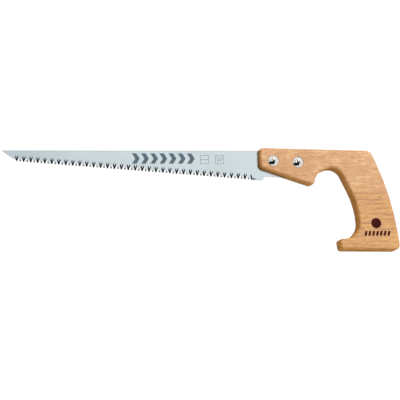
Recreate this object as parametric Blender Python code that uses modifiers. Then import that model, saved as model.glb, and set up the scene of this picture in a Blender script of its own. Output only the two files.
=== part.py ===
"""Compass saw: a tapered blade in the kerf of an open wooden handle, held by two saw screws.

The saw lies flat on its side. +X runs from the blade's tip to the handle, +Y points to the
blade's straight back and +Z is up, through the thickness. The origin is at the bottom centre
of the saw's box. Outlines are drawn on the lines that a joiner would use: x from the end of
the blade's nominal length, just ahead of the handle, and y from the back edge of the blade.
"""

import math

import bmesh
import bpy
from mathutils import Matrix, Vector

MM = 0.001
GAP = 0.3 * MM

# Handle: one board of beech with all its outer edges rounded over.
HANDLE_THICKNESS = 22.0 * MM
HANDLE_EDGE_RADIUS = 2.8 * MM
HANDLE_FRONT = 1.75 * MM
HANDLE_TOP_FRONT = 2.1 * MM
HANDLE_TOP_REAR = -1.1 * MM
HANDLE_BOTTOM_FRONT = -120.2 * MM
HANDLE_BOTTOM_REAR = -121.0 * MM
FRONT_END_BOTTOM = -21.2 * MM
NOSE_X = 66.4 * MM
NOSE_Y = -42.8 * MM
CHEEK_CORNER_RADIUS = 3.4 * MM
CHEEK_BOTTOM_RADIUS = 6.5 * MM
NOSE_RADIUS = 3.8 * MM

# Grip: both sides lean backwards, and the hook closes the finger opening below.
GRIP_REAR_TOP = 137.0 * MM
GRIP_REAR_MIDDLE = 161.2 * MM
GRIP_REAR_MIDDLE_Y = -56.5 * MM
GRIP_REAR_BOTTOM = 169.8 * MM
GRIP_REAR_RADIUS = 310.0 * MM
HORN_RADIUS = 9.5 * MM
HEEL_CORNER_RADIUS = 6.4 * MM
GRIP_FRONT_MIDDLE = 118.3 * MM
GRIP_FRONT_MIDDLE_Y = -66.0 * MM
GRIP_FRONT_BOTTOM = 121.8 * MM
GRIP_FRONT_RADIUS = 98.0 * MM
OPENING_FRONT = 69.0 * MM
OPENING_FRONT_TOP = -29.0 * MM
OPENING_FRONT_RADIUS = 15.9 * MM
OPENING_REAR = 95.2 * MM
OPENING_REAR_TOP = -16.8 * MM
OPENING_REAR_RADIUS = 16.4 * MM
HOOK_FRONT = 94.9 * MM
HOOK_SLANT = 1.7 * MM
HOOK_BOTTOM_RADIUS = 4.2 * MM
SMALL_CORNER_RADIUS = 3.0 * MM
HOOK_TOP = -107.0 * MM
HOOK_THROAT_DROP = 1.9 * MM
HOOK_THROAT_RADIUS = 20.0 * MM

# Blade: straight back, tapered tooth line, slanted nose and a tang inside the handle.
BLADE_THICKNESS = 1.2 * MM
BLADE_LENGTH = 305.0 * MM
BLADE_PLANE = HANDLE_THICKNESS / 2
BLADE_NOSE_LENGTH = 18.4 * MM
BLADE_NOSE_HEIGHT = 12.75 * MM
HEEL_X = 5.4 * MM
HEEL_HEIGHT = 35.6 * MM
HEEL_RADIUS = 1.6 * MM
TANG_STEP_X = 8.5 * MM
TANG_STEP_HEIGHT = 31.0 * MM
TANG_STEP_RADIUS = 1.2 * MM
TANG_CORNER_RADIUS = 3.0 * MM
POINT_RADIUS = 0.4 * MM
TANG_LENGTH = 57.5 * MM
TANG_END_HEIGHT = 33.4 * MM

# Teeth: V-shaped grooves that lean across the thickness, one way and the other in turn.
TOOTH_PITCH = 4.12 * MM
GROOVE_COUNT = 69
FIRST_GROOVE_X = -289.4 * MM
GROOVE_DEPTH = 7.3 * MM
GROOVE_LEAN = 1.7 * MM
TOOTH_FLAT = 1.5 * MM
TOOTH_LINE_RISE = HEEL_HEIGHT - BLADE_NOSE_HEIGHT
TOOTH_LINE_ANGLE = math.atan2(TOOTH_LINE_RISE, BLADE_LENGTH - BLADE_NOSE_LENGTH + HEEL_X)

# Saw screws: a domed screw from the front meets a sleeve nut from the back.
SCREW_CENTRES = {"front": (17.5 * MM, -13.6 * MM), "rear": (47.4 * MM, -15.2 * MM)}
HEAD_RADIUS = 6.5 * MM
HEAD_RIM = 0.4 * MM
HEAD_HEIGHT = 2.4 * MM
FRONT_COUNTERBORE = 0.7 * MM
SHANK_RADIUS = 1.95 * MM
SHANK_END = 5.0 * MM
RECESS_LENGTH = 4.6 * MM
RECESS_WIDTH = 1.0 * MM
RECESS_DEPTH = 1.3 * MM
RECESS_TURN = math.radians(35.0)
NUT_FLANGE = 1.6 * MM
NUT_DOME = 0.5 * MM
NUT_RECESS = 0.2 * MM
NUT_SLOT_WIDTH = 1.2 * MM
NUT_SLOT_DEPTH = 0.8 * MM
NUT_SLOT_TURN = math.radians(20.0)
BARREL_RADIUS = 3.25 * MM
BARREL_END = 15.0 * MM
TURNED_STEPS = 32

CUT_MARGIN = 2.0 * MM
ARC_TOLERANCE = 0.05 * MM


# ---------------------------------------------------------------- outlines

def rounded_outline(corners):
    """Points of a closed outline whose corners (x, y, radius) are turned into arcs."""
    points = []
    for index, (x, y, radius) in enumerate(corners):
        corner = Vector((x, y))
        before = (corner - Vector(corners[index - 1][:2])).normalized()
        after = (Vector(corners[(index + 1) % len(corners)][:2]) - corner).normalized()
        turn = math.atan2(before.x * after.y - before.y * after.x, before.dot(after))
        start = corner - before * radius * math.tan(abs(turn) / 2)
        side = math.copysign(1.0, turn)
        centre = start + Vector((-before.y, before.x)) * side * radius
        steps = max(2, math.ceil(abs(turn) / (2 * math.acos(1 - ARC_TOLERANCE / radius))))
        for step in range(steps + 1):
            spoke = Matrix.Rotation(turn * step / steps, 2) @ (start - centre)
            points.append(centre + spoke)
    return points


def handle_corners():
    """The handle's outline, clockwise from the top of its front end."""
    return [
        (HANDLE_FRONT, HANDLE_TOP_FRONT, CHEEK_CORNER_RADIUS),
        (GRIP_REAR_TOP, HANDLE_TOP_REAR, HORN_RADIUS),
        (GRIP_REAR_MIDDLE, GRIP_REAR_MIDDLE_Y, GRIP_REAR_RADIUS),
        (GRIP_REAR_BOTTOM, HANDLE_BOTTOM_REAR, HEEL_CORNER_RADIUS),
        (HOOK_FRONT + HOOK_SLANT, HANDLE_BOTTOM_FRONT, HOOK_BOTTOM_RADIUS),
        (HOOK_FRONT, HOOK_TOP, SMALL_CORNER_RADIUS),
        (GRIP_FRONT_BOTTOM, HOOK_TOP - HOOK_THROAT_DROP, HOOK_THROAT_RADIUS),
        (GRIP_FRONT_MIDDLE, GRIP_FRONT_MIDDLE_Y, GRIP_FRONT_RADIUS),
        (OPENING_REAR, OPENING_REAR_TOP, OPENING_REAR_RADIUS),
        (OPENING_FRONT, OPENING_FRONT_TOP, OPENING_FRONT_RADIUS),
        (NOSE_X, NOSE_Y, NOSE_RADIUS),
        (HANDLE_FRONT, FRONT_END_BOTTOM, CHEEK_BOTTOM_RADIUS),
    ]


def blade_corners():
    """The blade's outline before the teeth are cut, clockwise from its tip."""
    return [
        (-BLADE_LENGTH, 0.0, POINT_RADIUS),
        (TANG_LENGTH, 0.0, TANG_CORNER_RADIUS),
        (TANG_LENGTH, -TANG_END_HEIGHT, TANG_CORNER_RADIUS),
        (TANG_STEP_X, -TANG_STEP_HEIGHT, TANG_STEP_RADIUS),
        (HEEL_X, -HEEL_HEIGHT, HEEL_RADIUS),
        (BLADE_NOSE_LENGTH - BLADE_LENGTH, -BLADE_NOSE_HEIGHT, POINT_RADIUS),
    ]


def drawing_centre():
    """Middle of the whole saw on the drawing, which becomes the origin."""
    outline = rounded_outline(handle_corners()) + rounded_outline(blade_corners())
    lengths = [point.x for point in outline]
    heights = [point.y for point in outline]
    return Vector(((min(lengths) + max(lengths)) / 2, (min(heights) + max(heights)) / 2, 0.0))


CENTRE = drawing_centre()


def placed(x, y, z=0.0):
    """World position of a point on the drawing."""
    return Vector((x, y, z)) - CENTRE


# ---------------------------------------------------------------- scene helpers

def clear_scene():
    for item in list(bpy.data.objects):
        bpy.data.objects.remove(item, do_unlink=True)


def new_collection(name):
    collection = bpy.data.collections.new(name)
    bpy.context.scene.collection.children.link(collection)
    return collection


def make_material(name, colour, metallic, roughness):
    material = bpy.data.materials.new(name)
    material.use_nodes = True
    shader = material.node_tree.nodes["Principled BSDF"]
    shader.inputs["Base Color"].default_value = (*colour, 1.0)
    shader.inputs["Metallic"].default_value = metallic
    shader.inputs["Roughness"].default_value = roughness
    return material


def add_object(name, mesh, collection, location):
    item = bpy.data.objects.new(name, mesh)
    item.location = location
    collection.objects.link(item)
    return item


def add_cutter(name, mesh, location):
    cutter = add_object(name, mesh, CUTTERS, location)
    cutter.hide_render = True
    cutter.display_type = "WIRE"
    return cutter


def cut(item, cutter):
    modifier = item.modifiers.new(cutter.name, "BOOLEAN")
    modifier.operation = "DIFFERENCE"
    modifier.solver = "EXACT"
    modifier.object = cutter


def shade_round(item, angle=35.0):
    item.data.shade_smooth()
    item.data.set_sharp_from_angle(angle=math.radians(angle))


# ---------------------------------------------------------------- shapes

def plate(name, corners, thickness, collection, middle):
    """A flat plate of the given outline, as a mesh with one face on each side."""
    curve = bpy.data.curves.new(name + "_outline", "CURVE")
    curve.dimensions = "2D"
    curve.fill_mode = "BOTH"
    curve.extrude = thickness / 2
    outline = rounded_outline(corners)
    spline = curve.splines.new("POLY")
    spline.points.add(len(outline) - 1)
    for vertex, point in zip(spline.points, outline):
        vertex.co = (*point, 0.0, 1.0)
    spline.use_cyclic_u = True

    guide = add_object(name + "_guide", curve, collection, placed(0.0, 0.0, middle))
    bpy.context.view_layer.update()
    evaluated = guide.evaluated_get(bpy.context.evaluated_depsgraph_get())
    mesh = bpy.data.meshes.new_from_object(evaluated)
    place = guide.matrix_world.copy()
    bpy.data.objects.remove(guide, do_unlink=True)

    work = bmesh.new()
    work.from_mesh(mesh)
    bmesh.ops.remove_doubles(work, verts=work.verts, dist=0.01 * MM)
    bmesh.ops.dissolve_limit(work, angle_limit=math.radians(0.2), verts=work.verts, edges=work.edges)
    bmesh.ops.recalc_face_normals(work, faces=work.faces)
    work.to_mesh(mesh)
    work.free()

    item = add_object(name, mesh, collection, (0.0, 0.0, 0.0))
    item.matrix_world = place
    return item


def turned(name, profile, collection, location):
    """A turned solid: the profile (radius, height) runs from the axis, down its outer side."""
    mesh = bpy.data.meshes.new(name)
    edges = [(index, index + 1) for index in range(len(profile) - 1)]
    mesh.from_pydata([(radius, 0.0, height) for radius, height in profile], edges, [])
    item = add_object(name, mesh, collection, location)
    screw = item.modifiers.new("turn", "SCREW")
    screw.steps = TURNED_STEPS
    screw.render_steps = TURNED_STEPS
    screw.use_merge_vertices = True
    screw.merge_threshold = 0.00001
    screw.use_smooth_shade = True
    return item


def box_mesh(name, size):
    mesh = bpy.data.meshes.new(name)
    work = bmesh.new()
    bmesh.ops.create_cube(work, size=1.0, matrix=Matrix.Diagonal((*size, 1.0)))
    work.to_mesh(mesh)
    work.free()
    return mesh


def dome(radius, rise, base, steps=6):
    """Profile points of a shallow dome, from its top on the axis to just above its rim."""
    sphere = (radius ** 2 + rise ** 2) / (2 * rise)
    points = []
    for step in range(steps):
        reach = radius * step / steps
        points.append((reach, base + math.sqrt(sphere ** 2 - reach ** 2) - (sphere - rise)))
    return points


# ---------------------------------------------------------------- blade

def groove_cutter(name, first, lean):
    """Every second groove, as V-shaped prisms that lean sideways across the thickness."""
    opening = TOOTH_PITCH + abs(lean) - TOOTH_FLAT
    height = GROOVE_DEPTH + CUT_MARGIN
    base = opening * height / GROOVE_DEPTH
    depth = BLADE_THICKNESS + CUT_MARGIN

    # A three-sided cylinder of radius 1 has its apex at y = 1, is 1.5 high and 3 ** 0.5 wide.
    scale = Matrix.Diagonal((base / math.sqrt(3), height / 1.5, 1.0, 1.0))
    shear = Matrix.Identity(4)
    shear[0][2] = lean / BLADE_THICKNESS
    turn = Matrix.Rotation(-TOOTH_LINE_ANGLE, 4, "Z")

    mesh = bpy.data.meshes.new(name)
    work = bmesh.new()
    for index in range(first, GROOVE_COUNT, 2):
        along = index * TOOTH_PITCH
        tip = Vector((along, -along * math.tan(TOOTH_LINE_ANGLE), 0.0))
        apex = Matrix.Translation((0.0, GROOVE_DEPTH - height / 1.5, 0.0))
        matrix = Matrix.Translation(tip) @ turn @ shear @ apex @ scale
        bmesh.ops.create_cone(work, cap_ends=True, segments=3, radius1=1.0, radius2=1.0,
                              depth=depth, matrix=matrix)
    work.to_mesh(mesh)
    work.free()
    first_height = HEEL_HEIGHT - (HEEL_X - FIRST_GROOVE_X) * math.tan(TOOTH_LINE_ANGLE)
    return add_cutter(name, mesh, placed(FIRST_GROOVE_X, -first_height, BLADE_PLANE))


def make_blade(steel):
    blade = plate("blade", blade_corners(), BLADE_THICKNESS, SAW, BLADE_PLANE)
    cut(blade, groove_cutter("grooves_leaning_back", 0, GROOVE_LEAN))
    cut(blade, groove_cutter("grooves_leaning_forward", 1, -GROOVE_LEAN))
    for place, (x, y) in SCREW_CENTRES.items():
        mesh = bpy.data.meshes.new("blade_hole_" + place)
        work = bmesh.new()
        radius = BARREL_RADIUS + GAP
        bmesh.ops.create_cone(work, cap_ends=True, segments=TURNED_STEPS, radius1=radius,
                              radius2=radius, depth=BLADE_THICKNESS + CUT_MARGIN)
        work.to_mesh(mesh)
        work.free()
        cut(blade, add_cutter("blade_hole_" + place, mesh, placed(x, y, BLADE_PLANE)))
    blade.data.materials.append(steel)


# ---------------------------------------------------------------- handle

def make_handle(wood):
    handle = plate("handle", handle_corners(), HANDLE_THICKNESS, SAW, HANDLE_THICKNESS / 2)
    edges = handle.modifiers.new("rounded_edges", "BEVEL")
    edges.width = HANDLE_EDGE_RADIUS
    edges.segments = 4
    edges.limit_method = "ANGLE"
    edges.angle_limit = math.radians(60.0)
    edges.use_clamp_overlap = False

    # The kerf is open at the front end and below, and closed behind and above the tang.
    kerf_front = -CUT_MARGIN
    kerf_rear = TANG_LENGTH + GAP
    kerf_bottom = NOSE_Y - CUT_MARGIN
    kerf_size = (kerf_rear - kerf_front, GAP - kerf_bottom, BLADE_THICKNESS + 2 * GAP)
    kerf_middle = placed((kerf_rear + kerf_front) / 2, (GAP + kerf_bottom) / 2, BLADE_PLANE)
    cut(handle, add_cutter("kerf", box_mesh("kerf", kerf_size), kerf_middle))

    counterbore = HEAD_RADIUS + GAP
    bore = BARREL_RADIUS + GAP
    back_floor = NUT_RECESS + NUT_FLANGE + GAP
    front_floor = HANDLE_THICKNESS - FRONT_COUNTERBORE
    profile = [
        (0.0, HANDLE_THICKNESS + CUT_MARGIN),
        (counterbore, HANDLE_THICKNESS + CUT_MARGIN),
        (counterbore, front_floor),
        (bore, front_floor),
        (bore, back_floor),
        (counterbore, back_floor),
        (counterbore, -CUT_MARGIN),
        (0.0, -CUT_MARGIN),
    ]
    for place, (x, y) in SCREW_CENTRES.items():
        cutter = turned("stepped_bore_" + place, profile, CUTTERS, placed(x, y))
        cutter.hide_render = True
        cutter.display_type = "WIRE"
        cut(handle, cutter)
    handle.data.materials.append(wood)
    shade_round(handle)


# ---------------------------------------------------------------- saw screws

def make_saw_screw(place, nickel):
    """A screw with a shallow domed head and a cross recess, seated in the front counterbore."""
    x, y = SCREW_CENTRES[place]
    seat = HANDLE_THICKNESS - FRONT_COUNTERBORE + GAP
    rim = seat + HEAD_RIM
    profile = dome(HEAD_RADIUS, HEAD_HEIGHT - HEAD_RIM, rim) + [
        (HEAD_RADIUS, rim),
        (HEAD_RADIUS, seat),
        (SHANK_RADIUS, seat),
        (SHANK_RADIUS, SHANK_END + SHANK_RADIUS / 2),
        (SHANK_RADIUS / 2, SHANK_END),
        (0.0, SHANK_END),
    ]
    screw = turned("saw_screw_" + place, profile, SAW, placed(x, y))
    top = seat + HEAD_HEIGHT
    arms = [(RECESS_LENGTH, RECESS_WIDTH), (RECESS_WIDTH, RECESS_LENGTH)]
    for arm, (length, width) in enumerate(arms):
        mesh = box_mesh("recess", (length, width, 2 * RECESS_DEPTH))
        cutter = add_cutter(f"recess_{place}_{arm}", mesh, placed(x, y, top))
        cutter.rotation_euler.z = RECESS_TURN
        cut(screw, cutter)
    screw.data.materials.append(nickel)


def make_sleeve_nut(place, nickel):
    """A slotted nut with a long barrel, let into the back of the handle."""
    x, y = SCREW_CENTRES[place]
    flange_top = NUT_RECESS + NUT_FLANGE
    bore = SHANK_RADIUS + GAP
    bore_end = SHANK_END - 2 * GAP
    head = [(radius, -height) for radius, height in dome(HEAD_RADIUS, NUT_DOME, -NUT_RECESS - NUT_DOME)]
    profile = [
        (0.0, bore_end),
        (bore, bore_end),
        (bore, BARREL_END),
        (BARREL_RADIUS, BARREL_END),
        (BARREL_RADIUS, flange_top),
        (HEAD_RADIUS, flange_top),
        (HEAD_RADIUS, NUT_RECESS + NUT_DOME),
    ] + list(reversed(head))
    nut = turned("sleeve_nut_" + place, profile, SAW, placed(x, y))
    slot_size = (2 * HEAD_RADIUS + CUT_MARGIN, NUT_SLOT_WIDTH, 2 * NUT_SLOT_DEPTH)
    slot = add_cutter("nut_slot_" + place, box_mesh("nut_slot", slot_size), placed(x, y, NUT_RECESS))
    slot.rotation_euler.z = NUT_SLOT_TURN
    cut(nut, slot)
    nut.data.materials.append(nickel)


# ---------------------------------------------------------------- build

clear_scene()
SAW = new_collection("hand_saw")
CUTTERS = new_collection("cutters")

BEECH = make_material("beech", (0.70, 0.42, 0.21), 0.0, 0.45)
BLADE_STEEL = make_material("blade_steel", (0.62, 0.66, 0.68), 0.9, 0.35)
NICKEL = make_material("nickel_plate", (0.75, 0.74, 0.71), 1.0, 0.15)

make_blade(BLADE_STEEL)
make_handle(BEECH)
for position in SCREW_CENTRES:
    make_saw_screw(position, NICKEL)
    make_sleeve_nut(position, NICKEL)
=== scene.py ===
"""Looks of the compass saw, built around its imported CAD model.

Lengths are in metres in the frame's axes: +X from the blade's tip to the handle, +Y towards the
blade's straight back, +Z up through the thickness. Outlines are drawn as in the CAD source, in
millimetres: x from the end of the blade's nominal length, just ahead of the handle, y from the
blade's back edge, z from the handle's flat underside.
"""

import math

import bmesh
import bpy
from mathutils import Matrix, Vector


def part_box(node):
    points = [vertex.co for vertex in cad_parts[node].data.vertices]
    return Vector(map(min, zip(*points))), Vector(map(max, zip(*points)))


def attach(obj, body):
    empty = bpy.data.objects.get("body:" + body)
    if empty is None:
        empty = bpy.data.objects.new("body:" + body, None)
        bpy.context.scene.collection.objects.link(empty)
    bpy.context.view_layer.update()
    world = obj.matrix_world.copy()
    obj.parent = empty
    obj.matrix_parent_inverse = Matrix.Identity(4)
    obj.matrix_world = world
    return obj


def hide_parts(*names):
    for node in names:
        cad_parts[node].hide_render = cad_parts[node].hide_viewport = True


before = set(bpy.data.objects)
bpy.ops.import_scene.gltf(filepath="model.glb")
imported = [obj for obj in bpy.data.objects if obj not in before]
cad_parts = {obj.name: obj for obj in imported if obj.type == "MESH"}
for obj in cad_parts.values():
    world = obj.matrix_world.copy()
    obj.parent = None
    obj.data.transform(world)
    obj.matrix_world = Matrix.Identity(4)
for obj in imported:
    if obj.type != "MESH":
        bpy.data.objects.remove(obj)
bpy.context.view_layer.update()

MM = 0.001
BODY = "root"

HANDLE_LOW, HANDLE_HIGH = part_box("handle")
BLADE_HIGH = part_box("blade")[1]

# The handle starts this many mm behind the end of the blade's nominal length.
HANDLE_FRONT = 1.75
DRAWING_ORIGIN = Vector((HANDLE_LOW.x - HANDLE_FRONT * MM, BLADE_HIGH.y, HANDLE_LOW.z))

# Heights of the upper faces over the handle's underside, in mm.
HANDLE_FACE = (HANDLE_HIGH.z - HANDLE_LOW.z) / MM
BLADE_FACE = (BLADE_HIGH.z - HANDLE_LOW.z) / MM

# Handle: corners (x, y, radius) clockwise from the top of its front end, in mm.
HANDLE_CORNERS = [
    (HANDLE_FRONT, 2.1, 3.4),
    (137.0, -1.1, 9.5),
    (161.2, -56.5, 310.0),
    (169.8, -121.0, 6.4),
    (96.6, -120.2, 4.2),
    (94.9, -107.0, 3.0),
    (121.8, -108.9, 20.0),
    (118.3, -66.0, 98.0),
    (95.2, -16.8, 16.4),
    (69.0, -29.0, 15.9),
    (66.4, -42.8, 3.8),
    (HANDLE_FRONT, -21.2, 6.5),
]
EDGE_RADIUS = 2.8
EDGE_STEPS = 10
FACE_MARGIN = 0.12
ARC_STEP = math.radians(5.0)
KERF_REAR = 57.8
KERF_TOP = 0.3
KERF_BOTTOM = -50.0
KERF_WIDTH = 1.8
CUT_MARGIN = 3.0

# Saw screws and their nuts, in mm. Their places and widths come from the CAD nodes, and the sizes
# of the recess and the slot are (length, width).
SCREWS = ("front", "rear")
HEAD_RIM = 0.4
HEAD_HEIGHT = 2.4
HEAD_CHAMFER = 0.12
HEAD_CHAMFER_DROP = 0.15
DOME_STEPS = 14
SHANK_RADIUS = 1.95
FRONT_COUNTERBORE = 0.7
BORE_RADIUS = 3.55
BORE_CLEARANCE = 0.3
BORE_FLARE = 0.25
BACK_COUNTERBORE = 2.1
NUT_DOME = 0.5
NUT_CHAMFER = 0.1
NUT_FLANGE = 1.6
NUT_BARREL_RADIUS = 3.25
NUT_BORE_START = 4.4
TURNED_STEPS = 72
RECESS_TURN = math.radians(35.0)
RECESS_TOP_SIZE = (5.6, 1.9)
RECESS_BOTTOM_SIZE = (2.6, 1.1)
RECESS_RISE = 0.5
RECESS_DEPTH = 2.2
RECESS_REACH = 3.1
RECESS_SHADOW_START = 0.05
RECESS_SHADOW_FULL = 0.15
DOME_SPHERE = 11.2
SLOT_TURN = math.radians(20.0)
SLOT_INNER_SIZE = (16.0, 1.1)
SLOT_OUTER_SIZE = (16.0, 1.3)
SLOT_DEPTH = 0.8
SLOT_OVERRUN = 1.0

# Tooth line on the drawing, in mm, and how its leaning facets and dark points are told apart; the
# dark points are painted shade.
TOOTH_LINE_START = (-286.6, -12.75)
TOOTH_LINE_SLOPE = -0.0783
TOOTH_LINE_END = 5.5
TOOTH_HEIGHT = 8.4
FIRST_GROOVE_REACH = 2.0
FLAT_FACE_UPRIGHT = 0.97
DARK_POINT_BAND = (2.6, 1.4)
DARK_POINT_STRENGTH = 0.8
DARK_POINTS_END = -3.0

# Growth rings, in mm: the pith's place over the board, their spacing and where they show most.
PITH_Y = 4.0
PITH_Z = 78.0
RING_SPACING = 4.6
FINE_RING_SPACING = 1.55
RING_BAND = (-38.0, -62.0)

# Printed marks on the drawing, in mm.
PRINT_THICKNESS = 0.02
CHEVRON_COUNT = 7
CHEVRON_START = -151.0
CHEVRON_PITCH = 11.0
CHEVRON_SPAN = (-15.6, -3.2)
CHEVRON_REACH = 4.0
CHEVRON_STROKE = 5.4
SQUARE_LEFTS = (-69.0, -51.0)
SQUARE_BOTTOM = -15.8
SQUARE_SIZE = 10.4
SQUARE_STROKE = 0.6
SQUARE_LINE = ((-68.4, -10.6), (-59.2, -10.6))
SQUARE_LINE_WIDTH = 0.7
ZIGZAG = ((-49.2, -7.2), (-47.6, -13.2), (-45.8, -7.6), (-44.0, -13.2), (-42.4, -7.2))
ZIGZAG_WIDTH = 0.55
STAMP_CENTRE = (140.4, -88.8)
STAMP_RADIUS = 6.2
STAMP_STEPS = 40
STAMP_BAR_COUNT = 7
STAMP_BAR_START = 125.2
STAMP_BAR_PITCH = 4.7
STAMP_BAR_WIDTH = 2.8
STAMP_BAR_SLANT = 1.4
STAMP_BAR_SPAN = (-104.0, -98.2)

# Camera: its aim on the drawing, how far it stands off the saw's upright and its roll.
CAMERA_AIM = (-70.6, -58.9, 11.0)
CAMERA_SIDE_TILT = math.radians(11.0)
CAMERA_DOWN_TILT = math.radians(8.5)
CAMERA_ROLL = math.radians(-1.72)
CAMERA_DISTANCE = 2.9
CAMERA_LENS = 220.8
CAMERA_SENSOR_WIDTH = 36.0
CAMERA_CLIP_END = 20.0

# Studio: floor sizes in metres and drops in mm, the sky's levels and the directions it is dark in.
BACKDROP_STRENGTH = 1.05
FLOOR_SIZE = 8.0
FLOOR_DROP = 0.6
BOUNCE_SIZE = 3.0
BOUNCE_DROP = 0.4
SKY_BRIGHT_SIDE = (0.55, 0.42, 0.72)
SKY_LEVELS = (0.62, 0.82)
ZENITH_SHARE = 0.62
DARK_GAP_X = (-0.82, -0.74, 0.30, 0.38)
DARK_GAP_Y = (-0.62, -0.54, -0.06, -0.02)

# Softboxes: name, place, aim, width and height in metres, power in watts, tint.
SOFTBOXES = (
    ("overhead", (0.46, 0.56, 1.8), (0.46, 0.56, 0.0), 1.6, 1.16, 4.9, (1.0, 1.0, 1.0)),
    ("key", (1.1, 0.9, 2.1), (0.0, 0.0, 0.0), 0.7, 0.7, 31.0, (1.0, 0.99, 0.97)),
)


def place(x, y, z=0.0):
    """World position of a point on the drawing, given in millimetres."""
    return DRAWING_ORIGIN + Vector((x, y, z)) * MM


# ---------------------------------------------------------------- meshes

def rounded_outline(corners):
    """(point, outward normal) pairs of a clockwise outline whose corners are turned into arcs."""
    outline = []
    for index, (x, y, radius) in enumerate(corners):
        corner = Vector((x, y))
        before = (corner - Vector(corners[index - 1][:2])).normalized()
        after = (Vector(corners[(index + 1) % len(corners)][:2]) - corner).normalized()
        turn = math.atan2(before.x * after.y - before.y * after.x, before.dot(after))
        start = corner - before * radius * math.tan(abs(turn) / 2)
        side = math.copysign(1.0, turn)
        centre = start + Vector((-before.y, before.x)) * side * radius
        steps = max(2, math.ceil(abs(turn) / ARC_STEP))
        for step in range(steps + 1):
            spoke = Matrix.Rotation(turn * step / steps, 2) @ (start - centre)
            outline.append((centre + spoke, spoke.normalized() * -side))
    return outline


def new_piece(name, mesh, material, slot, *nodes):
    """An object for the finished mesh, which rides on the saw and stands for the CAD nodes."""
    piece = bpy.data.objects.new(name, mesh)
    bpy.context.scene.collection.objects.link(piece)
    mesh.materials.clear()
    mesh.materials.append(material)
    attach(piece, BODY)
    if nodes:
        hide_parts(*nodes)


def mesh_from(name, work):
    bmesh.ops.remove_doubles(work, verts=work.verts, dist=0.001 * MM)
    bmesh.ops.recalc_face_normals(work, faces=work.faces)
    mesh = bpy.data.meshes.new(name)
    work.to_mesh(mesh)
    work.free()
    return mesh


def shade_round(mesh, angle=32.0):
    mesh.shade_smooth()
    mesh.set_sharp_from_angle(angle=math.radians(angle))


def bridge(work, ring_a, ring_b):
    """Quads between two closed rings with the same number of vertices."""
    count = len(ring_a)
    for index in range(count):
        after = (index + 1) % count
        work.faces.new((ring_a[index], ring_a[after], ring_b[after], ring_b[index]))


def turned_mesh(name, profile, centre):
    """A turned solid: the profile (radius, height) in mm runs from the axis to the axis."""
    work = bmesh.new()
    rings = []
    for radius, height in profile:
        if radius == 0.0:
            rings.append([work.verts.new(centre + Vector((0.0, 0.0, height * MM)))])
            continue
        ring = []
        for step in range(TURNED_STEPS):
            angle = math.tau * step / TURNED_STEPS
            offset = Vector((radius * math.cos(angle), radius * math.sin(angle), height)) * MM
            ring.append(work.verts.new(centre + offset))
        rings.append(ring)
    for ring_a, ring_b in zip(rings, rings[1:]):
        if len(ring_a) == 1 or len(ring_b) == 1:
            hub = ring_a[0] if len(ring_a) == 1 else ring_b[0]
            rim = ring_b if len(ring_a) == 1 else ring_a
            for index in range(TURNED_STEPS):
                work.faces.new((hub, rim[index], rim[(index + 1) % TURNED_STEPS]))
        else:
            bridge(work, ring_a, ring_b)
    return mesh_from(name, work)


def frustum_mesh(name, centre, turn, top_size, bottom_size, top, bottom):
    """A straight-sided block in mm, turned about Z, whose top and bottom differ in size."""
    work = bmesh.new()
    rings = []
    for (length, width), height in ((top_size, top), (bottom_size, bottom)):
        ring = []
        for side_x, side_y in ((-1, -1), (1, -1), (1, 1), (-1, 1)):
            corner = Vector((side_x * length / 2, side_y * width / 2, height)) * MM
            corner.rotate(Matrix.Rotation(turn, 3, "Z"))
            ring.append(work.verts.new(centre + corner))
        rings.append(ring)
    bridge(work, *rings)
    work.faces.new(rings[0])
    work.faces.new(rings[1])
    return mesh_from(name, work)


def carve(mesh, cutters):
    """The mesh with the cutter meshes taken out of it, as a new mesh."""
    item = bpy.data.objects.new(mesh.name, mesh)
    bpy.context.scene.collection.objects.link(item)
    tools = []
    for cutter in cutters:
        tool = bpy.data.objects.new(cutter.name, cutter)
        bpy.context.scene.collection.objects.link(tool)
        tools.append(tool)
        modifier = item.modifiers.new(cutter.name, "BOOLEAN")
        modifier.operation = "DIFFERENCE"
        modifier.solver = "EXACT"
        modifier.object = tool
    bpy.context.view_layer.update()
    evaluated = item.evaluated_get(bpy.context.evaluated_depsgraph_get())
    carved = bpy.data.meshes.new_from_object(evaluated)
    carved.name = mesh.name + "_carved"
    for spent in (item, *tools):
        bpy.data.objects.remove(spent, do_unlink=True)
    return carved


def flat_mark(name, outlines, base, material, slot):
    """A thin printed mark made of closed outlines, given in mm on the drawing."""
    work = bmesh.new()
    for outline in outlines:
        low = [work.verts.new(place(x, y, base)) for x, y in outline]
        high = [work.verts.new(place(x, y, base + PRINT_THICKNESS)) for x, y in outline]
        bridge(work, low, high)
        work.faces.new(low)
        work.faces.new(high)
    new_piece(name, mesh_from(name, work), material, slot)


# ---------------------------------------------------------------- node helpers

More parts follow.
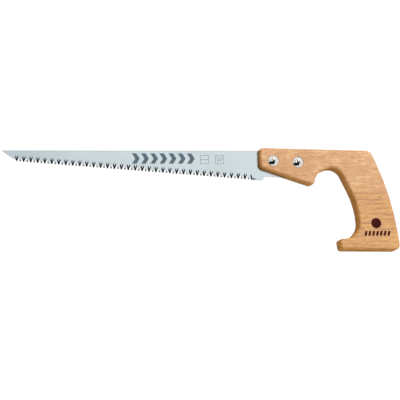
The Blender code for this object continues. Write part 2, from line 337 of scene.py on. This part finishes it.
class Nodes:
    """Adds nodes to a material's or world's tree, and returns their output sockets."""

    def __init__(self, owner):
        owner.use_nodes = True
        self.tree = owner.node_tree
        self.tree.nodes.clear()

    def add(self, kind, inputs=None, output=0, **settings):
        node = self.tree.nodes.new(kind)
        for name, value in settings.items():
            setattr(node, name, value)
        for key, value in (inputs or {}).items():
            if isinstance(value, bpy.types.NodeSocket):
                self.tree.links.new(value, node.inputs[key])
            else:
                node.inputs[key].default_value = value
        return node.outputs[output] if node.outputs else None

    def math(self, operation, a, b=0.0, c=0.0):
        return self.add("ShaderNodeMath", {0: a, 1: b, 2: c}, operation=operation)

    def vector(self, operation, a, b=(0.0, 0.0, 0.0)):
        return self.add("ShaderNodeVectorMath", {0: a, 1: b}, operation=operation)

    def dot(self, a, b):
        return self.add("ShaderNodeVectorMath", {0: a, 1: b}, output=1, operation="DOT_PRODUCT")

    def combine(self, x, y, z):
        return self.add("ShaderNodeCombineXYZ", {0: x, 1: y, 2: z})

    def split(self, vector):
        node = self.add("ShaderNodeSeparateXYZ", {0: vector}).node
        return node.outputs[0], node.outputs[1], node.outputs[2]

    def noise(self, vector, scale, detail=2.0, roughness=0.5):
        inputs = {"Vector": vector, "Scale": scale, "Detail": detail, "Roughness": roughness}
        return self.add("ShaderNodeTexNoise", inputs)

    def remap(self, value, low, high, to_low=0.0, to_high=1.0):
        inputs = {0: value, 1: low, 2: high, 3: to_low, 4: to_high}
        return self.add("ShaderNodeMapRange", inputs, interpolation_type="SMOOTHSTEP")

    def mix(self, factor, a, b, blend="MIX"):
        node = self.add("ShaderNodeMix", data_type="RGBA", blend_type=blend).node
        for index, value in ((0, factor), (6, a), (7, b)):
            if isinstance(value, bpy.types.NodeSocket):
                self.tree.links.new(value, node.inputs[index])
            else:
                node.inputs[index].default_value = value
        return node.outputs[2]

    def drawing_position(self):
        """The surface's position on the drawing, in millimetres."""
        position = self.add("ShaderNodeTexCoord", output=3)
        moved = self.vector("SUBTRACT", position, tuple(DRAWING_ORIGIN))
        return self.vector("MULTIPLY", moved, (1 / MM, 1 / MM, 1 / MM))

    def normal(self):
        return self.add("ShaderNodeNewGeometry", output=1)

    def bump(self, height, distance, strength):
        inputs = {"Height": height, "Distance": distance, "Strength": strength}
        return self.add("ShaderNodeBump", inputs)

    def surface(self, inputs):
        shader = self.add("ShaderNodeBsdfPrincipled", inputs)
        self.add("ShaderNodeOutputMaterial", {"Surface": shader})


def colour(red, green, blue):
    return (red, green, blue, 1.0)


# ---------------------------------------------------------------- materials

def beech_material():
    """Varnished beech: growth rings round a pith above the board, fibre streaks and flecks, and
    painted shade on its sides.
    """
    material = bpy.data.materials.new("varnished_beech")
    nodes = Nodes(material)
    position = nodes.drawing_position()
    x, y, z = nodes.split(position)

    # The rings wander slowly along the grain, so that they show as wavy lines on the faces.
    slow = nodes.vector("MULTIPLY", position, (0.011, 0.030, 0.030))
    wander = nodes.noise(slow, 1.0, 3.0, 0.55)
    ripple = nodes.noise(nodes.vector("MULTIPLY", position, (0.070, 0.095, 0.095)), 1.0, 2.0)
    away_y = nodes.math("SUBTRACT", y, PITH_Y)
    away_z = nodes.math("SUBTRACT", z, PITH_Z)
    squares = nodes.math("ADD", nodes.math("MULTIPLY", away_y, away_y),
                         nodes.math("MULTIPLY", away_z, away_z))
    radius = nodes.math("SQRT", squares)
    radius = nodes.math("MULTIPLY_ADD", wander, 16.0, radius)
    radius = nodes.math("MULTIPLY_ADD", ripple, 5.0, radius)
    ring = nodes.math("FRACT", nodes.math("DIVIDE", radius, RING_SPACING))
    late_wood = nodes.math("POWER", ring, 4.0)
    year = nodes.math("FLOOR", nodes.math("DIVIDE", radius, RING_SPACING))
    year_tone = nodes.noise(nodes.combine(nodes.math("MULTIPLY", x, 0.02), year, 0.0), 1.7, 1.0)
    late_wood = nodes.math("MULTIPLY", late_wood, nodes.remap(year_tone, 0.36, 0.56, 0.10, 1.0))
    fine_ring = nodes.math("FRACT", nodes.math("DIVIDE", radius, FINE_RING_SPACING))
    fine_wood = nodes.math("POWER", fine_ring, 3.0)

    # Rings show most in the grip, where the board was cut nearer to the quarter.
    band = nodes.remap(y, *RING_BAND)
    patch = nodes.noise(nodes.vector("MULTIPLY", position, (0.020, 0.035, 0.020)), 1.0, 2.0)
    ring_show = nodes.math("MULTIPLY_ADD", band, 0.78, 0.22)
    ring_show = nodes.math("MULTIPLY", ring_show, nodes.remap(patch, 0.38, 0.56, 0.35, 1.0))

    fibre = nodes.noise(nodes.vector("MULTIPLY", position, (0.09, 2.4, 2.4)), 1.0, 3.0, 0.6)
    streak = nodes.noise(nodes.vector("MULTIPLY", position, (0.060, 0.62, 0.50)), 1.0, 3.0, 0.65)
    hue = nodes.noise(nodes.vector("MULTIPLY", position, (0.075, 0.130, 0.100)), 1.0, 2.0)
    fleck = nodes.noise(nodes.vector("MULTIPLY", position, (0.42, 2.1, 1.1)), 1.0, 1.0)
    fleck = nodes.remap(fleck, 0.60, 0.72)
    blotch = nodes.noise(nodes.vector("MULTIPLY", position, (0.030, 0.055, 0.040)), 1.0, 3.0, 0.6)
    mottle = nodes.noise(nodes.vector("MULTIPLY", position, (0.16, 0.30, 0.22)), 1.0, 3.0, 0.6)

    wood = nodes.mix(nodes.remap(blotch, 0.42, 0.58), colour(0.810, 0.500, 0.240),
                     colour(0.730, 0.400, 0.190))
    wood = nodes.mix(nodes.math("MULTIPLY", band, 0.75), wood, colour(0.755, 0.390, 0.105))
    wood = nodes.mix(nodes.remap(mottle, 0.42, 0.60, 0.0, 0.60), wood,
                     colour(0.580, 0.285, 0.100))
    wood = nodes.mix(nodes.math("MULTIPLY", late_wood, ring_show), wood,
                     colour(0.230, 0.090, 0.030))
    wood = nodes.mix(nodes.math("MULTIPLY", fine_wood, nodes.math("MULTIPLY", ring_show, 0.32)),
                     wood, colour(0.430, 0.200, 0.070))
    wood = nodes.mix(nodes.remap(hue, 0.50, 0.62, 0.0, 0.45), wood, colour(0.640, 0.285, 0.150))
    streak_show = nodes.math("MULTIPLY", nodes.remap(streak, 0.48, 0.60),
                             nodes.remap(patch, 0.40, 0.58, 0.12, 0.55))
    wood = nodes.mix(streak_show, wood, colour(0.450, 0.200, 0.062))
    wood = nodes.mix(nodes.remap(fibre, 0.38, 0.68, 0.0, 0.30), wood, colour(0.480, 0.225, 0.080))
    wood = nodes.mix(nodes.math("MULTIPLY", fleck, 0.42), wood, colour(0.360, 0.150, 0.050))

    # Painted shade: the sides turn deeper and more golden the more they lean from upright. The end
    # grain shows dark pores.
    facing_x, _, facing_z = nodes.split(nodes.normal())
    upright = nodes.math("ABSOLUTE", facing_z)
    side_wall = nodes.remap(upright, 0.88, 0.45)
    wall_painted_shade = nodes.mix(1.0, wood, colour(1.06, 0.93, 0.55), "MULTIPLY")
    wood = nodes.mix(side_wall, wood, wall_painted_shade)
    end_grain = nodes.remap(nodes.math("ABSOLUTE", facing_x), 0.55, 0.95)
    pores = nodes.noise(nodes.vector("MULTIPLY", position, (0.3, 2.6, 2.6)), 1.0, 2.0, 0.6)
    pores = nodes.math("MULTIPLY", nodes.remap(pores, 0.42, 0.62), end_grain)
    wood = nodes.mix(nodes.math("MULTIPLY", pores, 0.30), wood, colour(0.230, 0.105, 0.035))

    roughness = nodes.remap(fibre, 0.30, 0.75, 0.36, 0.50)
    roughness = nodes.math("MULTIPLY_ADD", side_wall, 0.30, roughness)
    grain_height = nodes.math("MULTIPLY_ADD", fleck, -0.6, fibre)
    nodes.surface({
        "Base Color": wood,
        "Roughness": roughness,
        "Normal": nodes.bump(grain_height, 0.04 * MM, 0.35),
        "Coat Weight": nodes.remap(side_wall, 0.0, 1.0, 0.35, 0.0),
        "Coat Roughness": 0.16,
        "Specular IOR Level": 0.25,
    })
    return material


def steel_material():
    """Polished blade steel with fine lengthwise scratches, painted shade at the tip, the back edge
    and the tooth points, and blue-black tooth facets: hardened steel and painted dark reflection.
    """
    material = bpy.data.materials.new("polished_steel")
    nodes = Nodes(material)
    position = nodes.drawing_position()
    x, y, _ = nodes.split(position)

    scratches = nodes.noise(nodes.vector("MULTIPLY", position, (0.020, 3.0, 3.0)), 1.0, 4.0, 0.7)
    cloud = nodes.noise(nodes.vector("MULTIPLY", position, (0.030, 0.070, 0.070)), 1.0, 3.0, 0.6)
    mottle = nodes.noise(nodes.vector("MULTIPLY", position, (0.35, 0.45, 0.45)), 1.0, 2.0)

    steel = nodes.mix(nodes.remap(cloud, 0.35, 0.65), colour(0.462, 0.528, 0.545),
                      colour(0.445, 0.500, 0.520))
    # Painted shade: the steel darkens towards the tip.
    tip_painted_shade = nodes.remap(x, -190.0, -290.0)
    steel = nodes.mix(nodes.math("MULTIPLY", tip_painted_shade, 0.9), steel, colour(0.372, 0.428, 0.460))
    steel = nodes.mix(nodes.remap(mottle, 0.35, 0.75, 0.0, 0.20), steel,
                      colour(0.390, 0.440, 0.465))
    steel = nodes.mix(nodes.remap(scratches, 0.45, 0.75, 0.0, 0.18), steel,
                      colour(0.330, 0.375, 0.395))

    # Painted shade: the steel is darker along the back edge.
    back_edge_painted_shade = nodes.remap(y, -1.3, -0.5, 0.0, 0.45)
    steel = nodes.mix(back_edge_painted_shade, steel, colour(0.300, 0.330, 0.345))

    # The grinding of the teeth leaves facets that lean; they are painted blue-black, partly as
    # hardened steel and partly as painted dark reflection. The dark points at the tooth tips are
    # painted shade.
    line = nodes.math("MULTIPLY_ADD", nodes.math("SUBTRACT", x, TOOTH_LINE_START[0]),
                      TOOTH_LINE_SLOPE, TOOTH_LINE_START[1])
    above_line = nodes.math("SUBTRACT", y, line)
    near_teeth = nodes.math("LESS_THAN", above_line, TOOTH_HEIGHT)
    in_row = nodes.math("LESS_THAN", x, TOOTH_LINE_END)
    past_nose = nodes.math("GREATER_THAN", x, TOOTH_LINE_START[0] - FIRST_GROOVE_REACH)
    _, _, facing_z = nodes.split(nodes.normal())
    leaning = nodes.math("LESS_THAN", nodes.math("ABSOLUTE", facing_z), FLAT_FACE_UPRIGHT)
    facet = nodes.math("MULTIPLY", near_teeth, leaning)
    facet = nodes.math("MULTIPLY", facet, in_row)
    facet = nodes.math("MULTIPLY", facet, past_nose)
    # Painted shade: dark points at the tips of the teeth.
    among_teeth = nodes.math("LESS_THAN", x, DARK_POINTS_END)
    point = nodes.math("MULTIPLY", nodes.remap(above_line, *DARK_POINT_BAND), among_teeth)
    facet = nodes.math("MAXIMUM", facet, nodes.math("MULTIPLY", point, DARK_POINT_STRENGTH))
    burr = nodes.noise(nodes.vector("MULTIPLY", position, (1.2, 1.2, 1.2)), 1.0, 2.0)
    dark = nodes.mix(nodes.remap(burr, 0.35, 0.7), colour(0.012, 0.017, 0.022),
                     colour(0.045, 0.060, 0.075))
    steel = nodes.mix(facet, steel, dark)

    roughness = nodes.remap(scratches, 0.30, 0.75, 0.10, 0.15)
    nodes.surface({
        "Base Color": steel,
        "Metallic": 1.0,
        "Roughness": roughness,
        "Normal": nodes.bump(scratches, 0.01 * MM, 0.25),
    })
    return material


def recess_painted_shade_mask(nodes, position, node):
    """Painted shade: one inside the screw's cross recess, and zero on its bright dome."""
    top = (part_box(node)[1].z - HANDLE_LOW.z) / MM
    middle = (node_middle(node) - DRAWING_ORIGIN) / MM
    x, y, z = nodes.split(position)
    away_x = nodes.math("SUBTRACT", x, middle.x)
    away_y = nodes.math("SUBTRACT", y, middle.y)
    squares = nodes.math("ADD", nodes.math("MULTIPLY", away_x, away_x),
                         nodes.math("MULTIPLY", away_y, away_y))
    inside = nodes.math("LESS_THAN", squares, RECESS_REACH ** 2)
    level = nodes.math("MULTIPLY_ADD", squares, 0.5 / DOME_SPHERE, z)
    sunk = nodes.remap(level, top - RECESS_SHADOW_START, top - RECESS_SHADOW_FULL)
    return nodes.math("MULTIPLY", inside, sunk)


def plating_material(name, tint, screw_node=None):
    """Bright nickel plate with a fine grain and a little haze; a screw's recess gets painted shade.
    """
    material = bpy.data.materials.new(name)
    nodes = Nodes(material)
    position = nodes.drawing_position()
    haze = nodes.noise(nodes.vector("MULTIPLY", position, (0.6, 0.6, 0.6)), 1.0, 3.0, 0.6)
    fine = nodes.noise(nodes.vector("MULTIPLY", position, (6.0, 6.0, 6.0)), 1.0, 2.0)
    plate = nodes.mix(nodes.remap(haze, 0.35, 0.7), colour(*tint),
                      colour(*(0.88 * channel for channel in tint)))
    if screw_node:
        # Painted shade: the cross recess is darkened to a dark grey-green.
        shadow = recess_painted_shade_mask(nodes, position, screw_node)
        plate = nodes.mix(shadow, plate, colour(0.045, 0.060, 0.052))
    nodes.surface({
        "Base Color": plate,
        "Metallic": 1.0,
        "Roughness": nodes.remap(haze, 0.3, 0.75, 0.05, 0.12),
        "Normal": nodes.bump(fine, 0.004 * MM, 0.2),
    })
    return material


def ink_material(name, dark, light, wear_scale):
    """Printed ink that lies thinner in places."""
    material = bpy.data.materials.new(name)
    nodes = Nodes(material)
    position = nodes.drawing_position()
    wear = nodes.noise(nodes.vector("MULTIPLY", position, wear_scale), 1.0, 3.0, 0.65)
    ink = nodes.mix(nodes.remap(wear, 0.40, 0.72), colour(*dark), colour(*light))
    nodes.surface({
        "Base Color": ink,
        "Roughness": nodes.remap(wear, 0.3, 0.7, 0.50, 0.65),
        "Specular IOR Level": 0.05,
        "Normal": nodes.bump(wear, 0.01 * MM, 0.3),
    })
    return material


# ---------------------------------------------------------------- handle

def handle_mesh():
    """The board with its rounded edges, lofted in rings from one flat face to the other."""
    outline = rounded_outline(HANDLE_CORNERS)
    section = [(EDGE_RADIUS + FACE_MARGIN, HANDLE_FACE)]
    for step in range(EDGE_STEPS + 1):
        angle = math.pi / 2 * step / EDGE_STEPS
        inset = EDGE_RADIUS * (1 - math.sin(angle))
        section.append((inset, HANDLE_FACE - EDGE_RADIUS * (1 - math.cos(angle))))
    section += [(inset, HANDLE_FACE - height) for inset, height in reversed(section)]

    work = bmesh.new()
    rings = []
    for inset, height in section:
        ring = []
        for point, normal in outline:
            x, y = point - normal * inset
            ring.append(work.verts.new(place(x, y, height)))
        rings.append(ring)
    for ring_a, ring_b in zip(rings, rings[1:]):
        bridge(work, ring_a, ring_b)
    work.faces.new(rings[0])
    work.faces.new(rings[-1])
    return mesh_from("handle_board", work)


def kerf_mesh():
    """The sawn slot for the tang, open at the front end and below."""
    low = place(-CUT_MARGIN, KERF_BOTTOM, HANDLE_FACE / 2 - KERF_WIDTH / 2)
    high = place(KERF_REAR, KERF_TOP, HANDLE_FACE / 2 + KERF_WIDTH / 2)
    size = high - low
    work = bmesh.new()
    matrix = Matrix.Translation((low + high) / 2) @ Matrix.Diagonal((*size, 1.0))
    bmesh.ops.create_cube(work, size=1.0, matrix=matrix)
    return mesh_from("kerf", work)


def bore_mesh(name, centre, counterbore):
    """A stepped bore for a screw and its nut, with its mouths slightly flared."""
    top = HANDLE_FACE
    mouth = counterbore + BORE_FLARE
    profile = [
        (0.0, top + CUT_MARGIN),
        (mouth + CUT_MARGIN, top + CUT_MARGIN),
        (mouth, top),
        (counterbore, top - BORE_FLARE),
        (counterbore, top - FRONT_COUNTERBORE),
        (BORE_RADIUS, top - FRONT_COUNTERBORE),
        (BORE_RADIUS, BACK_COUNTERBORE),
        (counterbore, BACK_COUNTERBORE),
        (counterbore, BORE_FLARE),
        (mouth, 0.0),
        (mouth + CUT_MARGIN, -CUT_MARGIN),
        (0.0, -CUT_MARGIN),
    ]
    return turned_mesh(name, profile, centre)


def node_middle(node):
    """Centre of a CAD node's box, at the height of the handle's underside."""
    low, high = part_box(node)
    return Vector(((low.x + high.x) / 2, (low.y + high.y) / 2, HANDLE_LOW.z))


def node_radius(node):
    low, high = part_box(node)
    return (high.x - low.x) / 2 / MM


def make_handle(material):
    cutters = [kerf_mesh()]
    for position in SCREWS:
        node = "saw_screw_" + position
        counterbore = node_radius(node) + BORE_CLEARANCE
        cutters.append(bore_mesh("bore_" + position, node_middle(node), counterbore))
    mesh = carve(handle_mesh(), cutters)
    shade_round(mesh)
    new_piece("handle_beech", mesh, material, "beech", "handle")


# ---------------------------------------------------------------- saw screws

def dome_profile(radius, rise, base):
    """Points (radius, height) of a dome from its top to its rim."""
    sphere = (radius ** 2 + rise ** 2) / (2 * rise)
    points = []
    for step in range(DOME_STEPS + 1):
        reach = radius * step / DOME_STEPS
        points.append((reach, base + math.sqrt(sphere ** 2 - reach ** 2) - (sphere - rise)))
    return points


def make_saw_screw(position):
    """Domed screw with a cross recess that narrows towards its bottom."""
    node = "saw_screw_" + position
    low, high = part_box(node)
    centre = node_middle(node)
    head = node_radius(node)
    top = (high.z - HANDLE_LOW.z) / MM
    seat = top - HEAD_HEIGHT
    rim = seat + HEAD_RIM
    end = (low.z - HANDLE_LOW.z) / MM
    profile = dome_profile(head - HEAD_CHAMFER, HEAD_HEIGHT - HEAD_RIM, rim) + [
        (head, rim - HEAD_CHAMFER_DROP),
        (head, seat),
        (SHANK_RADIUS, seat),
        (SHANK_RADIUS, end + SHANK_RADIUS / 2),
        (SHANK_RADIUS / 2, end),
        (0.0, end),
    ]
    mesh = turned_mesh(node, profile, centre)
    cutters = []
    for arm in range(2):
        turn = RECESS_TURN + arm * math.pi / 2
        cutters.append(frustum_mesh(f"recess_{position}_{arm}", centre, turn, RECESS_TOP_SIZE,
                                    RECESS_BOTTOM_SIZE, top + RECESS_RISE, top - RECESS_DEPTH))
    mesh = carve(mesh, cutters)
    shade_round(mesh)
    material = plating_material("screw_plate_" + position, (0.95, 0.94, 0.90), node)
    new_piece(f"screw_{position}_plated", mesh, material, "screw_plating", node)


def make_sleeve_nut(position, material):
    """Nut with a shallow slotted head at the back and a barrel for the screw."""
    node = "sleeve_nut_" + position
    low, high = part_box(node)
    centre = node_middle(node)
    head = node_radius(node)
    bottom = (low.z - HANDLE_LOW.z) / MM
    barrel_end = (high.z - HANDLE_LOW.z) / MM
    flange = bottom + NUT_FLANGE
    bore = SHANK_RADIUS + BORE_CLEARANCE
    outside = [(reach, 2 * bottom + NUT_DOME - height)
               for reach, height in dome_profile(head - NUT_CHAMFER, NUT_DOME, bottom)]
    profile = [
        (0.0, NUT_BORE_START),
        (bore, NUT_BORE_START),
        (bore, barrel_end),
        (NUT_BARREL_RADIUS, barrel_end),
        (NUT_BARREL_RADIUS, flange),
        (head, flange),
        (head, bottom + NUT_DOME + NUT_CHAMFER),
    ] + list(reversed(outside))
    mesh = turned_mesh(node, profile, centre)
    slot = frustum_mesh("slot_" + position, centre, SLOT_TURN, SLOT_INNER_SIZE,
                        SLOT_OUTER_SIZE, bottom + SLOT_DEPTH, bottom - SLOT_OVERRUN)
    mesh = carve(mesh, [slot])
    shade_round(mesh)
    new_piece(f"nut_{position}_plated", mesh, material, "nut_plating", node)


# ---------------------------------------------------------------- printed marks

def bar(start, end, width):
    """Outline of a straight stroke between two points."""
    along = (Vector(end) - Vector(start)).normalized()
    side = Vector((-along.y, along.x)) * width / 2
    return [tuple(Vector(start) + side), tuple(Vector(end) + side),
            tuple(Vector(end) - side), tuple(Vector(start) - side)]


def chevron(x, bottom, top, reach, stroke):
    """A forward-pointing chevron that starts at x."""
    middle = (bottom + top) / 2
    return [(x, top), (x + stroke, top), (x + stroke + reach, middle), (x + stroke, bottom),
            (x, bottom), (x + reach, middle)]


def square_frame(left, bottom, size, stroke):
    """Four strokes of a square, which meet without overlapping."""
    right, top, half = left + size, bottom + size, stroke / 2
    return [
        bar((left, top - half), (right, top - half), stroke),
        bar((left, bottom + half), (right, bottom + half), stroke),
        bar((left + half, bottom + stroke), (left + half, top - stroke), stroke),
        bar((right - half, bottom + stroke), (right - half, top - stroke), stroke),
    ]


def make_marks(blade_ink, thin_ink, handle_ink):
    """Plain printed marks: a row of chevrons and two picture squares, and a stamp on the grip."""
    low, high = CHEVRON_SPAN
    chevrons = []
    for index in range(CHEVRON_COUNT):
        start = CHEVRON_START + CHEVRON_PITCH * index
        chevrons.append(chevron(start, low, high, CHEVRON_REACH, CHEVRON_STROKE))
    flat_mark("blade_chevrons", chevrons, BLADE_FACE, blade_ink, "blade_steel")

    squares = []
    for left in SQUARE_LEFTS:
        squares += square_frame(left, SQUARE_BOTTOM, SQUARE_SIZE, SQUARE_STROKE)
    squares.append(bar(*SQUARE_LINE, SQUARE_LINE_WIDTH))
    squares += [bar(start, end, ZIGZAG_WIDTH) for start, end in zip(ZIGZAG, ZIGZAG[1:])]
    flat_mark("blade_squares", squares, BLADE_FACE, thin_ink, "blade_steel")

    disc = []
    for step in range(STAMP_STEPS):
        angle = math.tau * step / STAMP_STEPS
        disc.append((STAMP_CENTRE[0] + STAMP_RADIUS * math.cos(angle),
                     STAMP_CENTRE[1] + STAMP_RADIUS * math.sin(angle)))
    low, high = STAMP_BAR_SPAN
    bars = []
    for index in range(STAMP_BAR_COUNT):
        left = STAMP_BAR_START + STAMP_BAR_PITCH * index
        right = left + STAMP_BAR_WIDTH
        bars.append([(left, low), (right, low), (right + STAMP_BAR_SLANT, high),
                     (left + STAMP_BAR_SLANT, high)])
    flat_mark("handle_stamp", [disc] + bars, HANDLE_FACE, handle_ink, "beech")


# ---------------------------------------------------------------- stage

def make_plane(name, size, height, material):
    work = bmesh.new()
    bmesh.ops.create_grid(work, x_segments=1, y_segments=1, size=size / 2,
                          matrix=Matrix.Translation((0.0, 0.0, height)))
    mesh = bpy.data.meshes.new(name)
    work.to_mesh(mesh)
    work.free()
    mesh.materials.append(material)
    plane = bpy.data.objects.new(name, mesh)
    bpy.context.scene.collection.objects.link(plane)
    return plane


def make_stage():
    """A white floor that the camera sees, and the same floor as what lights the saw from below."""
    white = bpy.data.materials.new("floor_white")
    nodes = Nodes(white)
    emission = {"Color": colour(1.0, 1.0, 1.0), "Strength": BACKDROP_STRENGTH}
    shining = nodes.add("ShaderNodeEmission", emission)
    nodes.add("ShaderNodeOutputMaterial", {"Surface": shining})
    floor = make_plane("floor", FLOOR_SIZE, -FLOOR_DROP * MM, white)
    floor.visible_diffuse = False
    floor.visible_glossy = False
    floor.visible_shadow = False

    pale = bpy.data.materials.new("floor_bounce")
    nodes = Nodes(pale)
    nodes.surface({"Base Color": colour(0.62, 0.61, 0.59), "Roughness": 0.9})
    bounce = make_plane("floor_bounce", BOUNCE_SIZE, -BOUNCE_DROP * MM, pale)
    bounce.visible_camera = False


def window(nodes, value, edges):
    """One between the middle two edges, falling to zero at the outer two."""
    low_end, low, high, high_end = edges
    return nodes.math("MULTIPLY", nodes.remap(value, low_end, low),
                      nodes.remap(value, high_end, high))


def make_world():
    """A pale sky, dimmer at its top and towards the lower left, with one dark gap in it."""
    world = bpy.data.worlds.new("studio")
    bpy.context.scene.world = world
    nodes = Nodes(world)
    direction = nodes.add("ShaderNodeTexCoord")
    x, y, z = nodes.split(direction)

    lit_side = nodes.dot(direction, SKY_BRIGHT_SIDE)
    level = nodes.remap(lit_side, -0.30, 0.50, *SKY_LEVELS)
    level = nodes.math("MULTIPLY", level, nodes.remap(z, 0.70, 0.90, 1.0, ZENITH_SHARE))
    gap = nodes.math("MULTIPLY", window(nodes, x, DARK_GAP_X), window(nodes, y, DARK_GAP_Y))
    gap = nodes.math("MULTIPLY", gap, nodes.math("GREATER_THAN", z, 0.0))
    level = nodes.math("MULTIPLY", level, nodes.math("SUBTRACT", 1.0, gap))
    seen = nodes.add("ShaderNodeLightPath")
    strength = nodes.math("MAXIMUM", level, nodes.math("MULTIPLY", seen, BACKDROP_STRENGTH))
    glow = nodes.add("ShaderNodeBackground", {"Color": colour(1.0, 1.0, 1.0), "Strength": strength})
    nodes.add("ShaderNodeOutputWorld", {"Surface": glow})


def make_softbox(name, location, aim, width, height, power, tint):
    light = bpy.data.lights.new(name, "AREA")
    light.shape = "RECTANGLE"
    light.size = width
    light.size_y = height
    light.energy = power
    light.color = tint
    item = bpy.data.objects.new(name, light)
    item.location = location
    item.rotation_mode = "QUATERNION"
    item.rotation_quaternion = (Vector(aim) - Vector(location)).to_track_quat("-Z", "Y")
    bpy.context.scene.collection.objects.link(item)


def make_camera():
    aim = place(*CAMERA_AIM)
    back = Vector((-math.tan(CAMERA_SIDE_TILT), -math.tan(CAMERA_DOWN_TILT), 1.0)).normalized()
    right = (-back).cross(Vector((0.0, 1.0, 0.0))).normalized()
    up = right.cross(-back)
    turn = Matrix.Rotation(CAMERA_ROLL, 3, back)
    axes = Matrix((turn @ right, turn @ up, back)).transposed().to_4x4()
    data = bpy.data.cameras.new("camera")
    data.lens = CAMERA_LENS
    data.sensor_width = CAMERA_SENSOR_WIDTH
    data.clip_end = CAMERA_CLIP_END
    camera = bpy.data.objects.new("camera", data)
    camera.matrix_world = Matrix.Translation(aim + back * CAMERA_DISTANCE) @ axes
    bpy.context.scene.collection.objects.link(camera)
    bpy.context.scene.camera = camera


# ---------------------------------------------------------------- build

bpy.context.scene.view_settings.view_transform = "Standard"
make_camera()
make_stage()
make_world()
for softbox in SOFTBOXES:
    make_softbox(*softbox)

make_handle(beech_material())

steel = steel_material()
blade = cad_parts["blade"]
blade.data.materials.clear()
blade.data.materials.append(steel)

nut_plating = plating_material("nut_plate", (0.84, 0.83, 0.80))
for screw in SCREWS:
    make_saw_screw(screw)
    make_sleeve_nut(screw, nut_plating)

make_marks(
    ink_material("blue_grey_ink", (0.085, 0.125, 0.160), (0.130, 0.185, 0.225), (0.5, 0.5, 0.5)),
    ink_material("pale_blue_ink", (0.210, 0.280, 0.330), (0.300, 0.370, 0.420), (0.5, 0.5, 0.5)),
    ink_material("maroon_ink", (0.040, 0.003, 0.002), (0.080, 0.014, 0.008), (0.2, 1.4, 1.4)),
)
